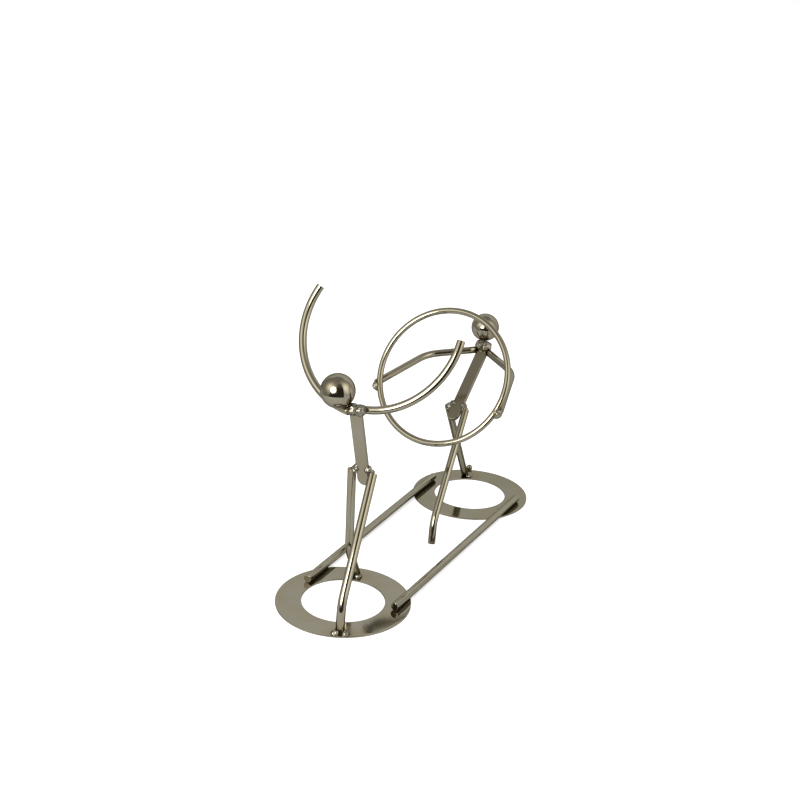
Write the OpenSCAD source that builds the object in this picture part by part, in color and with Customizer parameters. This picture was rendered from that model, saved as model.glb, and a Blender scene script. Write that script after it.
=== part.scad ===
// Welded wire holder: two stick figures on flat rings, joined by two rods.
// Frame: +Z up, +Y from the front figure to the rear one, +X to the figures' right as
// seen from the front. The origin lies midway between the rings, on the table.
// Each figure is drawn about the centre of its own ring and then moved along Y.

/* [Base] */
// Distance between the centres of the two base rings
base_span = 174.5; // [160:0.5:190]
// Outer diameter of a base ring
ring_d = 80; // [78:1:90]
// Width of a base ring's flat band
ring_band = 15.3; // [12:0.1:18]
// Thickness of the ring plate
ring_t = 1; // [0.8:0.1:2]
// Diameter of the two tie rods that lie on the rings
tie_d = 4.8; // [3:0.1:6]
// Side offset of the left tie rod at its front and its rear end
left_tie_x = [28.4, 32]; // [24:0.1:34]
// Side offset of the right tie rod at its front and its rear end
right_tie_x = [31.2, 32.8]; // [24:0.1:34]
// How far behind its ring's centre the tie rods' front and rear ends lie
tie_end_y = [5.5, 6]; // [-10:0.5:14]

/* [Torsos and heads] */
// Width of the flat bar that makes a torso
torso_w = 7.8; // [7:0.1:10]
// Thickness of the flat bar
torso_t = 2.6; // [2:0.1:4]
// Length of the bar below the hip, where the legs are welded
torso_tail = 9.5; // [7:0.5:14]
// Length of the bar above the shoulders of the front and the rear figure
torso_top = [2.4, 5.2]; // [2:0.1:6]
// Diameters of the front and the rear ball head
head_d = [20, 18.8]; // [16:0.2:22]

/* [Front figure] */
// Hip of the front figure behind its ring's centre, and its height
front_hip = [19.3, 76.5]; // [10:0.1:90]
// Backward lean of the front torso
front_lean = 15; // [8:1:24]
// Hip to shoulder of the front figure
front_torso_len = 43.3; // [36:0.1:50]
// Side offset of the front torso
front_torso_x = -0.7; // [-1:0.1:1]
// Side offset of the front head, which sits on the left arm
front_head_x = -11.8; // [-14:0.1:-10]
// Direction from the left arm to the front head, up from straight ahead
front_head_lift = 70; // [60:1:90]
// Diameter of the front leg rods
front_leg_d = 5.2; // [4:0.1:6]
// Room between the torso's edge and the left and right leg's top, which the beads fill
front_leg_room = [1, 0.1]; // [0.1:0.1:1.2]
// Left foot of the front figure: side, and distance in from the ring's rear edge
front_left_foot = [-8, 9]; // [-12:0.5:12]
// Right foot of the front figure: side, and distance in from the ring's front edge
front_right_foot = [17, 7.6]; // [5:0.1:20]
// Shin bend of the left leg: side, distance from the ring's centre, height
front_left_shin = [-7.8, 18.8, 24]; // [-10:0.1:30]
// Shin bend of the right leg: side, distance from the ring's centre, height
front_right_shin = [15.7, -29, 17.5]; // [-34:0.1:24]

/* [Front arms] */
// Diameter of the arm rods
arm_d = 4.7; // [3:0.1:6]
// Radius of the right and the left front arm, to the middle of the rod
front_arm_r = [49.5, 49]; // [44:0.5:56]
// Tilt of the load's axis from the horizontal, which the arms and hoop stand square to
load_tilt = 30; // [24:1:38]
// Height of the right and left arm's lowest point above the shoulder, up the arms' plane
front_arm_rise = [1.2, -1.8]; // [-2:0.1:2]
// Angle that the right and the left arm sweep from straight down
front_arm_sweep = [90, 112]; // [60:1:120]

/* [Rear figure] */
// Hip of the rear figure behind its ring's centre, and its height
rear_hip = [-31.5, 76]; // [-40:0.5:90]
// Backward lean of the rear torso
rear_lean = 50.5; // [40:0.5:60]
// Hip to shoulder of the rear figure
rear_torso_len = 48.5; // [44:0.5:54]
// Side offset of the rear head, which sits on the end of the rear torso
rear_head_x = -3; // [-3.5:0.5:3.5]
// Direction from the torso's end to the rear head, up from straight back
rear_head_lift = 69; // [50:1:90]
// Diameter of the rear leg rods
rear_leg_d = 4.8; // [4:0.1:6]
// Room between the rear torso's edges and the legs' tops
rear_leg_room = 0.1; // [0.1:0.1:1.2]
// Standing foot of the rear figure: side, and distance in from the ring's rear edge
standing_foot = [-16, 14]; // [-20:0.5:20]
// Free foot of the rear figure: side, distance from the ring's centre, height
raised_foot = [13, -85.5, 2.6]; // [-95:0.1:30]
// Shin bend of the raised leg: side, distance from the ring's centre, height
raised_shin = [11.9, -82, 16.5]; // [-90:0.1:24]
// Round-topped stub on the ring behind the standing foot: distance behind it, and height
stub_at = [7, 5.5]; // [4:0.1:9]
// Diameters of the stub's round top and of its neck
stub_d = [4.3, 3.4]; // [2.5:0.1:5]

/* [Hoop and rear arms] */
// Diameter of the hoop's rod
hoop_d = 4; // [3:0.1:5]
// Radius of the hoop, to the middle of the rod
hoop_r = 43.5; // [41:0.5:48]
// Centre of the hoop behind the rear ring's centre, and its height
hoop_at = [-57.1, 105.8]; // [-65:0.1:115]
// Angle below the hoop's middle at which the hands hold it
hand_angle = 17; // [5:1:30]
// How far outside the middle of the hoop's rod the rear arms meet it
hand_reach = 2.4; // [1.8:0.1:3]
// Rear elbow: side, distance from the ring's centre, height
rear_elbow = [31.5, -17, 103]; // [-25:0.5:115]
// Radius of the bends in the rods
rod_bend_r = 22; // [12:1:30]

/* [Welds] */
// Gap between curved pieces that are seated on each other
seat = 0.1; // [0.05:0.05:0.3]
// Radius of the beads at the feet
foot_bead_r = 2.3; // [1.5:0.1:3.5]
// Radius of the beads at the hips
hip_bead_r = 2.4; // [2:0.1:3.5]
// Radius of the lumps at the necks
neck_bead_r = 3.8; // [3:0.1:5]
// Radius of the beads at the hands
hand_bead_r = 3; // [2.5:0.1:4.5]
// How far below the arm's crossing the hand beads lie
hand_sag = 2.6; // [0:0.1:4]

/* [Hidden] */

$fn = 64;
steel = [0.66, 0.64, 0.59];
plate = [0.60, 0.58, 0.54];
weld = [0.52, 0.51, 0.48];
big = 400;

front_y = -base_span / 2;
rear_y = base_span / 2;
foot_z = ring_t;
tie_z = ring_t + tie_d / 2 + seat;
rim = ring_d / 2;
left_foot = [front_left_foot[0], rim - front_left_foot[1]];
right_foot = [front_right_foot[0], front_right_foot[1] - rim];
rear_foot = [standing_foot[0], rim - standing_foot[1], foot_z];
arm_gap_x = torso_w / 2 + seat;
bend_dip = 0.4;
bend_swell = 0.02;

// Places of the weld lumps, from the joint that each one belongs to
hip_lump_at = [[1.2, 0.3], [-0.2, 2.3]];
front_neck_lumps = [[-0.6, -2.7, 2.2], [4, -2.8, 2.9]];
rear_neck_lumps = [[-2, -2.6, 1], [2.2, -2.6, 0.5]];
left_foot_lump = [1.4, -2.4];
right_foot_lumps = [[-1.9, -1.9], [front_leg_d / 2 + 0.6, 1]];
rear_foot_lump = [rear_leg_d / 2 + 0.4, 0.5];

// Vector helpers
function unit(v) = v / norm(v);
function azimuth(v) = atan2(v[1], v[0]);
function from_z(v) = acos(v[2] / norm(v));

// A torso's bar runs from its hip, leaning back by an angle; side is -1 at the front
// figure, which leans towards -Y, and 1 at the rear one.
function along_torso(hip, lean, side, d) = [0, hip[0] + side * d * sin(lean), hip[1] + d * cos(lean)];
front_shoulder = along_torso(front_hip, front_lean, -1, front_torso_len);
front_side = [front_torso_x, 0, 0];
rear_shoulder = along_torso(rear_hip, rear_lean, 1, rear_torso_len);

// A point of the load's cross plane through c: x sideways, u up the plane
function in_plane(c, x, u) = [x, c[1] + u * sin(load_tilt), c[2] + u * cos(load_tilt)];
hoop_c = [0, hoop_at[0], hoop_at[1]];

// The front head rests on the left arm, square to the arm's rod
left_arm_turn = asin(front_head_x / front_arm_r[1]);
left_arm_u = front_arm_rise[1] + front_arm_r[1] * (1 - cos(left_arm_turn));
left_arm_dir = in_plane([0, 0, 0], cos(left_arm_turn), sin(left_arm_turn));
head_up = [0, -cos(front_head_lift), sin(front_head_lift)];
front_head_p = in_plane(front_shoulder, front_head_x, left_arm_u)
    + (head_d[0] / 2 + arm_d / 2 + seat) * unit(head_up - (head_up * left_arm_dir) * left_arm_dir);

// The rear head rests on the upper edge of its torso's end
rear_end = along_torso(rear_hip, rear_lean, 1, rear_torso_len + torso_top[1]);
rear_head_p = rear_end
    + torso_t / 2 * [0, -cos(rear_lean), sin(rear_lean)]
    + [rear_head_x, 0, 0]
    + (head_d[1] / 2 + seat) * [0, cos(rear_head_lift), sin(rear_head_lift)];

// Hands: each arm meets the hoop from behind, on the outside of its rod
hand_out = in_plane([0, 0, 0], cos(hand_angle), -sin(hand_angle));
hand_down = in_plane([0, 0, 0], -sin(hand_angle), -cos(hand_angle));
hand_rim = hoop_c + hoop_r * hand_out;
hand_at = hand_rim + hand_reach * hand_out;
hand_groove = hand_rim + hoop_d / 2 * hand_out;
function mirrored(p, side) = [side * p[0], p[1], p[2]];
function beyond(a, b, d) = b + d * unit(b - a);

// A straight round rod from a to b
module rod(a, b, d) {
    v = b - a;
    translate(a)
        rotate([0, from_z(v), azimuth(v)])
            cylinder(h = norm(v), d = d);
}

// A rod through the points a, b and c, bent at b with radius r. The bend is drawn a
// trifle fuller than the straights, which dip into it, so that no faces coincide.
module bent_rod(a, b, c, d, r) {
    u = unit(b - a);
    w = unit(c - b);
    turn = acos(u * w);
    cut = r * tan(turn / 2);
    n = unit(cross(u, w));
    out = cross(u, n);
    centre = b - cut * u - r * out;
    tilt = [0, from_z(n), azimuth(n)];
    side_x = [cos(tilt[1]) * cos(tilt[2]), cos(tilt[1]) * sin(tilt[2]), -sin(tilt[1])];
    side_y = [-sin(tilt[2]), cos(tilt[2]), 0];
    rod(a, b - (cut - bend_dip) * u, d);
    rod(b + (cut - bend_dip) * w, c, d);
    translate(centre)
        rotate(tilt)
            rotate([0, 0, atan2(out * side_y, out * side_x)])
                rotate_extrude(angle = turn)
                    translate([r, 0])
                        circle(d = d + 2 * bend_swell);
}

// Base ring: a laser-cut flat washer
module base_ring() {
    difference() {
        cylinder(h = ring_t, d = ring_d);
        translate([0, 0, -1])
            cylinder(h = ring_t + 2, d = ring_d - 2 * ring_band);
    }
}
module front_base_ring() {
    color(plate) translate([0, front_y, 0]) base_ring();
}
module rear_base_ring() {
    color(plate) translate([0, rear_y, 0]) base_ring();
}

// Tie rods lie on both rings
module tie_rod(side, offset, grow = 0) {
    a = [side * offset[0], front_y + tie_end_y[0], tie_z];
    b = [side * offset[1], rear_y + tie_end_y[1], tie_z];
    rod(a, b, tie_d + 2 * grow);
}
module left_tie_rod() {
    color(steel) tie_rod(-1, left_tie_x);
}
module right_tie_rod() {
    color(steel) tie_rod(1, right_tie_x);
}

// Torso: flat bar with a rounded lower end, upright at the hip and then leant back
module torso_bar(hip, lean, side, length, grow = 0) {
    translate([0, hip[0], hip[1]])
        rotate([-side * lean, 0, 0])
            translate([0, torso_t / 2 + grow, 0])
                rotate([90, 0, 0])
                    linear_extrude(torso_t + 2 * grow)
                        union() {
                            translate([-torso_w / 2 - grow, torso_w / 2 - torso_tail])
                                square([torso_w + 2 * grow, length + torso_tail - torso_w / 2 + grow]);
                            translate([0, torso_w / 2 - torso_tail])
                                circle(d = torso_w + 2 * grow);
                        }
}
module front_bar(grow = 0) {
    translate(front_side)
        torso_bar(front_hip, front_lean, -1, front_torso_len + torso_top[0], grow);
}
module rear_bar(grow = 0) {
    torso_bar(rear_hip, rear_lean, 1, rear_torso_len + torso_top[1], grow);
}
module front_torso() {
    color(plate) translate([0, front_y, 0]) front_bar();
}
module rear_torso() {
    color(plate) translate([0, rear_y, 0]) rear_bar();
}

// Heads: solid balls
module front_head() {
    color(steel) translate([0, front_y, 0]) translate(front_head_p) sphere(d = head_d[0]);
}
module rear_head() {
    color(steel) translate([0, rear_y, 0]) translate(rear_head_p) sphere(d = head_d[1]);
}

// Room between the torso's edges, which the arms butt against
module between_arms(grow = 0) {
    gap_x = arm_gap_x - grow;
    translate([-gap_x, -big, -big])
        cube([2 * gap_x, 2 * big, 2 * big]);
}

// Front arm: an arc of rod in the load's cross plane
module arm_arc(side, r, rise, sweep, grow = 0) {
    translate(in_plane(front_shoulder, 0, rise + r))
        rotate([90 - load_tilt, 0, 0])
            mirror([side < 0 ? 1 : 0, 0, 0])
                rotate([0, 0, -90])
                    rotate_extrude(angle = sweep)
                        translate([r, 0])
                            circle(d = arm_d + 2 * grow);
}
module right_arc(grow = 0) {
    difference() {
        arm_arc(1, front_arm_r[0], front_arm_rise[0], front_arm_sweep[0], grow);
        translate(front_side) between_arms(grow);
    }
}
module left_arc(grow = 0) {
    difference() {
        arm_arc(-1, front_arm_r[1], front_arm_rise[1], front_arm_sweep[1], grow);
        translate(front_side) between_arms(grow);
    }
}
module front_right_arm() {
    color(steel) translate([0, front_y, 0]) right_arc();
}
module front_left_arm() {
    color(steel) translate([0, front_y, 0]) left_arc();
}

// Front legs: from the torso's edge over a shin bend to a foot cut flat on the ring
function leg_top(side, hip, d, room) = [side * (torso_w / 2 + room + d / 2), hip[0], hip[1]];
left_top = front_side + leg_top(-1, front_hip, front_leg_d, front_leg_room[0]);
right_top = front_side + leg_top(1, front_hip, front_leg_d, front_leg_room[1]);
standing_top = leg_top(-1, rear_hip, rear_leg_d, rear_leg_room);
raised_top = leg_top(1, rear_hip, rear_leg_d, rear_leg_room);
module cut_on_ring() {
    difference() {
        children();
        translate([-big, -big, foot_z - big])
            cube([2 * big, 2 * big, big]);
    }
}
function into_ring(foot) = [foot[0], foot[1], foot_z - front_leg_d / 2];
module front_left_rod(grow = 0) {
    bent_rod(left_top, front_left_shin, into_ring(left_foot), front_leg_d + 2 * grow, rod_bend_r);
}
module front_right_rod(grow = 0) {
    bent_rod(right_top, front_right_shin, into_ring(right_foot), front_leg_d + 2 * grow, rod_bend_r);
}
module front_left_leg() {
    color(steel) translate([0, front_y, 0]) cut_on_ring() front_left_rod();
}
module front_right_leg() {
    color(steel) translate([0, front_y, 0]) cut_on_ring() front_right_rod();
}

// Rear legs: a straight one on the ring, and one stepping forward over the table
module standing_rod(grow = 0) {
    rod(standing_top, beyond(standing_top, rear_foot, rear_leg_d), rear_leg_d + 2 * grow);
}
module raised_rod(grow = 0) {
    bent_rod(raised_top, raised_shin, raised_foot, rear_leg_d + 2 * grow, rod_bend_r);
}
module rear_standing_leg() {
    color(steel) translate([0, rear_y, 0]) cut_on_ring() standing_rod();
}
module rear_raised_leg() {
    color(steel) translate([0, rear_y, 0]) raised_rod();
}

// Stub: a short round-topped post on the rear ring, behind the standing foot
module rear_ring_stub() {
    color(steel) translate([0, rear_y, 0]) translate(rear_foot + [0, stub_at[0], 0]) {
        cylinder(h = stub_at[1] - stub_d[0] / 2, d = stub_d[1]);
        translate([0, 0, stub_at[1] - stub_d[0] / 2]) sphere(d = stub_d[0]);
    }
}

// Holding hoop: a closed ring of rod round the load's foot
module hoop_ring(grow = 0) {
    translate(hoop_c)
        rotate([90 - load_tilt, 0, 0])
            rotate_extrude()
                translate([hoop_r, 0])
                    circle(d = hoop_d + 2 * grow);
}
module holding_hoop() {
    color(steel) translate([0, rear_y, 0]) hoop_ring();
}

// Rear arms: from the torso's edges round the elbows, butted against the hoop's rod
module rear_arm_rod(side, grow = 0) {
    difference() {
        bent_rod(rear_shoulder, mirrored(rear_elbow, side), mirrored(hand_at, side), arm_d + 2 * grow, rod_bend_r);
        between_arms(grow);
        hoop_ring(seat - grow);
    }
}
module rear_right_arm() {
    color(steel) translate([0, rear_y, 0]) rear_arm_rod(1);
}
module rear_left_arm() {
    color(steel) translate([0, rear_y, 0]) rear_arm_rod(-1);
}

// Weld lumps: balls of metal, cut back to the pieces that they join
module lumps(places, r) {
    for (p = places)
        translate(p) sphere(r = r);
}
module front_neck_weld() {
    color(weld) translate([0, front_y, 0]) difference() {
        translate(front_shoulder)
            rotate([front_lean, 0, 0])
                lumps(front_neck_lumps, neck_bead_r);
        front_bar(seat);
        right_arc(seat);
        left_arc(seat);
        translate(front_head_p) sphere(d = head_d[0] + 2 * seat);
    }
}
module rear_neck_weld() {
    color(weld) translate([0, rear_y, 0]) difference() {
        translate(rear_shoulder)
            rotate([-rear_lean, 0, 0])
                lumps(rear_neck_lumps, neck_bead_r);
        rear_bar(seat);
        rear_arm_rod(1, seat);
        rear_arm_rod(-1, seat);
        translate(rear_head_p) sphere(d = head_d[1] + 2 * seat);
    }
}

// Hip beads fill the corners between the torso's edges and the legs' upper ends: each is
// a lower lump on the leg's top and a higher one on the torso's edge
module hip_lumps(hip, lean, side) {
    for (at = hip_lump_at)
        lumps([for (s = [-1, 1]) along_torso(hip, lean, side, at[1]) + [s * (torso_w / 2 + at[0]), 0, 0]],
            hip_bead_r);
}
module front_hip_welds() {
    color(weld) translate([0, front_y, 0]) difference() {
        translate(front_side) hip_lumps(front_hip, front_lean, -1);
        front_bar(seat);
        front_left_rod(seat);
        front_right_rod(seat);
    }
}
module rear_hip_welds() {
    color(weld) translate([0, rear_y, 0]) difference() {
        hip_lumps(rear_hip, rear_lean, 1);
        rear_bar(seat);
        standing_rod(seat);
        raised_rod(seat);
    }
}

// Foot beads lie on the ring beside the feet
module on_ring() {
    difference() {
        children();
        translate([-big, -big, foot_z + seat - big])
            cube([2 * big, 2 * big, big]);
    }
}
function beside(foot, at) = [foot[0] + at[0], foot[1] + at[1], foot_z];
module front_foot_welds() {
    color(weld) translate([0, front_y, 0]) on_ring() difference() {
        lumps([
            beside(left_foot, left_foot_lump),
            for (at = right_foot_lumps) beside(right_foot, at)
        ], foot_bead_r);
        front_left_rod(seat);
        front_right_rod(seat);
    }
}
module rear_foot_weld() {
    color(weld) translate([0, rear_y, 0]) on_ring() difference() {
        lumps([beside(rear_foot, rear_foot_lump)], foot_bead_r);
        standing_rod(seat);
    }
}

// Hand beads lie in the grooves between the hoop and the rear arms
module hand_welds() {
    color(weld) translate([0, rear_y, 0]) difference() {
        lumps([for (s = [-1, 1]) mirrored(hand_groove + hand_sag * hand_down, s)], hand_bead_r);
        hoop_ring(seat);
        rear_arm_rod(1, seat);
        rear_arm_rod(-1, seat);
    }
}

front_base_ring();
rear_base_ring();
left_tie_rod();
right_tie_rod();
front_torso();
front_head();
front_left_arm();
front_right_arm();
front_left_leg();
front_right_leg();
rear_torso();
rear_head();
rear_left_arm();
rear_right_arm();
holding_hoop();
rear_standing_leg();
rear_raised_leg();
rear_ring_stub();
front_neck_weld();
front_hip_welds();
front_foot_welds();
rear_neck_weld();
rear_hip_welds();
rear_foot_weld();
hand_welds();
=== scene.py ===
# %% [markdown]
# # A wire holder in plated steel
# The holder stands on two flat washers joined by two straight rods. On each washer stands a
# figure bent from round rod, with a flat bar for a torso and a solid ball for a head. The
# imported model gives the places; this lesson gives every piece a fine surface and its finish.

import math

import bpy
import numpy as np
from mathutils import Matrix, Vector


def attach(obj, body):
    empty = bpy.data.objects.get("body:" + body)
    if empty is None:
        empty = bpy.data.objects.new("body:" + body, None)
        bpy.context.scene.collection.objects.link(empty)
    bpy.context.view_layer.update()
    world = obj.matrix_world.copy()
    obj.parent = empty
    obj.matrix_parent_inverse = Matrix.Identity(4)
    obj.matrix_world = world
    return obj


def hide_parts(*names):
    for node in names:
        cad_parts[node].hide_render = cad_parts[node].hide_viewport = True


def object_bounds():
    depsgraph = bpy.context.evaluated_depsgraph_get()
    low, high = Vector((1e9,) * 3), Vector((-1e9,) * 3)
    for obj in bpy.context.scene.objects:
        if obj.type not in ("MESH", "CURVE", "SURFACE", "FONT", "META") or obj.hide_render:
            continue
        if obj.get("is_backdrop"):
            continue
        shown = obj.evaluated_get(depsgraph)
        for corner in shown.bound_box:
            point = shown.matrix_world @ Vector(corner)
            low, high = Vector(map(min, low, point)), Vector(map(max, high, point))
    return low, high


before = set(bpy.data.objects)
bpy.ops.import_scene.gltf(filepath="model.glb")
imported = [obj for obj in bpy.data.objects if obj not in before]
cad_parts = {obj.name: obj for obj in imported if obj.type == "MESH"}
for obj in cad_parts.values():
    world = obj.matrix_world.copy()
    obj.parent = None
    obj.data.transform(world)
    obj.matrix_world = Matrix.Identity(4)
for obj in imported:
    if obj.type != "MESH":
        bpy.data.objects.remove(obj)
cad_low, cad_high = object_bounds()
print("nodes:", len(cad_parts), "box:", [round(v, 4) for v in (*cad_low, *cad_high)])

# %% [markdown]
# ## The camera
# The photograph was fitted with a pinhole camera. A camera object looks along its own -Z, so
# its matrix holds the picture's right, its up and the reverse of the viewing direction.

# %% Place the camera
RIGHT = Vector((0.8797, 0.4732, 0.0467))
UP = Vector((-0.2094, 0.2973, 0.9314))
FORWARD = Vector((-0.4269, 0.8292, -0.3606)).normalized()
RIGHT = (RIGHT - FORWARD * RIGHT.dot(FORWARD)).normalized()
UP = RIGHT.cross(FORWARD).normalized()
EYE = Vector((0.3143, -0.63765, 0.3735))
camera_data = bpy.data.cameras.new("camera")
camera_data.lens = 55.45
camera_data.sensor_width = 36.0
camera = bpy.data.objects.new("camera", camera_data)
camera.matrix_world = Matrix.Translation(EYE) @ Matrix((RIGHT, UP, -FORWARD)).transposed().to_4x4()
bpy.context.scene.collection.objects.link(camera)
bpy.context.scene.camera = camera
print("camera at", [round(v, 3) for v in EYE])

# %% [markdown]
# ## Measures
# The same sizes as the solids have, in millimetres. Each figure is worked out about the centre
# of its own ring, and moved along Y at the end.

# %% Name the measures
# In every pair of sides, -1 is the holder's left and 1 its right.
MM = 0.001
SPAN = 174.5
RING_D, RING_BAND, RING_T, RING_EASE = 80.0, 15.3, 1.0, 0.16
TIE_D, TIE_END = 4.8, (5.5, 6.0)
TIE_X = {-1: (28.4, 32.0), 1: (31.2, 32.8)}
TORSO_W, TORSO_T, TORSO_TAIL, TORSO_TOP = 7.8, 2.6, 9.5, (2.4, 5.2)
BAR_CORNER, BAR_EASE = 0.35, 0.45
FRONT_HEAD_D, REAR_HEAD_D = 20.0, 18.8
FRONT_HEAD_X, FRONT_HEAD_LIFT, REAR_HEAD_X, REAR_HEAD_LIFT = -11.8, 70.0, -3.0, 69.0
FRONT_HIP, FRONT_LEAN, FRONT_LEN = (19.3, 76.5), 15.0, 43.3
REAR_HIP, REAR_LEAN, REAR_LEN = (-31.5, 76.0), 50.5, 48.5
FRONT_LEG_D, REAR_LEG_D, ARM_D, HOOP_D, HOOP_R = 5.2, 4.8, 4.7, 4.0, 43.5
LEG_GAP = {-1: 1.0, 1: 0.1}
TILT = 30.0
ARM_R = {1: 49.5, -1: 49.0}
RISE = {1: 1.2, -1: -1.8}
SWEEP = {1: 90.0, -1: 112.0}
HOOP_AT, HAND_ANGLE, HAND_REACH, HAND_SAG = (-57.1, 105.8), 17.0, 2.4, 2.6
ELBOW = np.array((31.5, -17.0, 103.0))
BEND_R, SEAT, CHAMFER = 22.0, 0.1, 0.22
FRONT_SIDE = np.array((-0.7, 0.0, 0.0))
FRONT_Y, REAR_Y = -SPAN / 2, SPAN / 2


def sin(deg):
    return math.sin(math.radians(deg))


def cos(deg):
    return math.cos(math.radians(deg))


def unit(v):
    v = np.asarray(v, float)
    return v / np.linalg.norm(v)


def mirrored(p, side):
    return np.array((side * p[0], p[1], p[2]))


def along_torso(hip, lean, side, d):
    """The point at distance d up a torso: hip + d * (sin lean, cos lean), leaning to side."""
    return np.array((0.0, hip[0] + side * d * sin(lean), hip[1] + d * cos(lean)))


def in_plane(c, x, u):
    """The point x sideways and u up the tilted plane in which the arms and the hoop lie."""
    return np.array((x, c[1] + u * sin(TILT), c[2] + u * cos(TILT)))


FRONT_SHOULDER = along_torso(FRONT_HIP, FRONT_LEAN, -1, FRONT_LEN)
REAR_SHOULDER = along_torso(REAR_HIP, REAR_LEAN, 1, REAR_LEN)
HOOP_C = np.array((0.0, HOOP_AT[0], HOOP_AT[1]))
print("front shoulder", FRONT_SHOULDER.round(2), "rear shoulder", REAR_SHOULDER.round(2))

# %% [markdown]
# ## From a grid of points to a mesh
# A surface is a function of two parameters. Worked out on a grid it is one array of points,
# and the faces are the grid's cells. A seam is closed by wrapping the last column to the
# first. The two end rows are closed by a point each, so that every piece is a closed skin.

# %% Make a closed surface from rows of points
pieces = {}


def signed_volume(mesh):
    """A sixth of the sum of a . (b x c) over the triangles: negative if the skin is inside out."""
    mesh.calc_loop_triangles()
    tri = np.zeros(len(mesh.loop_triangles) * 3, int)
    mesh.loop_triangles.foreach_get("vertices", tri)
    co = np.zeros(len(mesh.vertices) * 3)
    mesh.vertices.foreach_get("co", co)
    a, b, c = co.reshape(-1, 3)[tri.reshape(-1, 3)].transpose(1, 0, 2)
    return float(np.einsum("ij,ij->i", a, np.cross(b, c)).sum() / 6)


def add_piece(name, points, faces, uv, y_shift):
    """A smooth mesh. The points and the UV, one pair for each face's corner, are in mm."""
    mesh = bpy.data.meshes.new(name)
    mesh.from_pydata(((points + np.array((0.0, y_shift, 0.0))) * MM).tolist(), [], faces)
    layer = mesh.uv_layers.new(name="around_along")
    layer.data.foreach_set("uv", (uv * MM).astype(np.float32).ravel())
    mesh.polygons.foreach_set("use_smooth", np.ones(len(mesh.polygons), bool))
    mesh.update()
    if signed_volume(mesh) < 0:
        mesh.flip_normals()
    pieces[name] = bpy.data.objects.new(name, mesh)
    bpy.context.scene.collection.objects.link(pieces[name])


def skin(name, grids, y_shift=0.0):
    """A piece from grids of rows: P[row, column] in mm, wrapped along the columns; the first
    and the last row shrink to their middle point. UV runs round and along."""
    verts, faces, uvs, base = [], [], [], 0
    for grid in grids:
        rows, cols, _ = grid.shape
        first, last = grid[0].mean(0), grid[-1].mean(0)
        body = np.arange(rows * cols).reshape(rows, cols) + base
        nxt = np.roll(body, -1, axis=1)
        quads = np.stack([body[:-1], nxt[:-1], nxt[1:], body[1:]], -1).reshape(-1, 4)
        pole_a, pole_b = base + rows * cols, base + rows * cols + 1
        fan_a = np.stack([np.full(cols, pole_a), nxt[0], body[0]], -1)
        fan_b = np.stack([np.full(cols, pole_b), body[-1], nxt[-1]], -1)
        verts.append(np.concatenate([grid.reshape(-1, 3), first[None], last[None]]))
        faces += quads.tolist() + fan_a.tolist() + fan_b.tolist()
        strides = np.linalg.norm(np.diff(grid.mean(1), axis=0), axis=1)
        run = np.concatenate([[0.0], np.cumsum(strides)])
        girth = np.linalg.norm(np.roll(grid, -1, 1) - grid, axis=2).sum(1).max()
        u = np.arange(cols + 1) / cols * girth
        left, right = np.tile(u[:-1], (rows - 1, 1)), np.tile(u[1:], (rows - 1, 1))
        low, high = np.repeat(run[:-1, None], cols, 1), np.repeat(run[1:, None], cols, 1)
        cell_u = np.stack([left, right, right, left], -1)
        cell_v = np.stack([low, low, high, high], -1)
        uvs.append(np.stack([cell_u, cell_v], -1).reshape(-1, 2))
        fan_u = np.stack([u[:-1], u[1:], u[:-1]], -1)
        for v in (0.0, run[-1]):
            uvs.append(np.stack([fan_u, np.full_like(fan_u, v)], -1).reshape(-1, 2))
        base += rows * cols + 2
    add_piece(name, np.concatenate(verts), faces, np.concatenate(uvs), y_shift)


def ring_skin(name, grid, y_shift):
    """A piece from one grid that is wrapped both ways: a torus of any section."""
    rows, cols, _ = grid.shape
    body = np.arange(rows * cols).reshape(rows, cols)
    right, down = np.roll(body, -1, 1), np.roll(body, -1, 0)
    faces = np.stack([body, right, np.roll(right, -1, 0), down], -1).reshape(-1, 4)
    i, j = np.meshgrid(np.arange(rows), np.arange(cols), indexing="ij")
    around_step = np.linalg.norm(np.roll(grid, -1, 1) - grid, axis=2).sum(1).max() / cols
    across = np.linalg.norm(np.roll(grid, -1, 0) - grid, axis=2).mean(1)
    run = np.concatenate([[0.0], np.cumsum(across)])
    u = np.stack([j, j + 1, j + 1, j], -1) * around_step
    v = np.stack([run[i], run[i], run[i + 1], run[i + 1]], -1)
    uv = np.stack([v, u], -1).reshape(-1, 2)
    add_piece(name, grid.reshape(-1, 3), faces.tolist(), uv, y_shift)


print("each skin gets a UV layer, around_along, in metres")

# %% [markdown]
# ## Round rod
# Wire is drawn through a die, cut off square and bent cold round a pin. The surface is a circle
# carried along a path. Each section's axes are turned on from the last one's by the smallest
# turn, so that the drawing marks run along the rod without a twist. A cut end is a narrow
# chamfer and a flat, made by extra rows.

# %% Carry a circle along a path
SIDES = 64


def bent_path(a, b, c, r):
    """Straight from a towards b, an arc of radius r tangent to both legs, straight on to c."""
    u, w = unit(b - a), unit(c - b)
    turn = math.acos(float(u @ w))
    cut = r * math.tan(turn / 2)
    out = np.cross(u, unit(np.cross(u, w)))
    centre = b - cut * u - r * out
    t = np.linspace(0, turn, 25)[:, None]
    arc = centre + r * (np.cos(t) * out + np.sin(t) * u)
    return np.concatenate([straight(a, arc[0])[:-1], arc, straight(arc[-1], c)[1:]])


def straight(a, b):
    n = max(3, int(np.linalg.norm(b - a) / 1.5))
    return a + (b - a) * np.linspace(0, 1, n)[:, None]


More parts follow.
